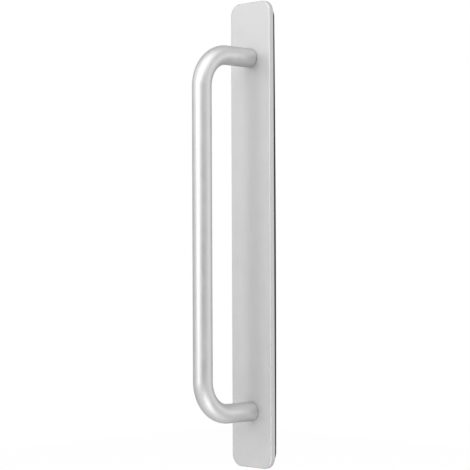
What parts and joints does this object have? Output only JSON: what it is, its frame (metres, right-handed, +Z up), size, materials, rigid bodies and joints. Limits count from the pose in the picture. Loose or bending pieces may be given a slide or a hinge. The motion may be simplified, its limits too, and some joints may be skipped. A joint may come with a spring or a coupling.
{
  "type": "adhesive pull handle",
  "caption": "Stick-on pull handle: a round bar bent into a D on a long flat plate with round corners, screwed from behind and held on a door or drawer front by foam tape.",
  "frame": {"origin": "middle of the foam tape's back face, where it sticks to the door", "axes": "+Z up along the plate, +Y out of the back face into the door, +X to the right seen from the front, with the bar on the -Y side"},
  "size_m": [0.034, 0.053, 0.29],
  "materials": {
    "satin_aluminium": "fine blasted satin, clear anodised",
    "zinc_plated_steel": "bright zinc plating",
    "foam_tape": "matt black closed-cell foam with a slightly glossy adhesive face"
  },
  "bodies": {
    "root": {"back_plate": "satin_aluminium", "pull_bar": "satin_aluminium", "bar_screws": "zinc_plated_steel", "adhesive_tape": "foam_tape"}
  },
  "joints": []
}
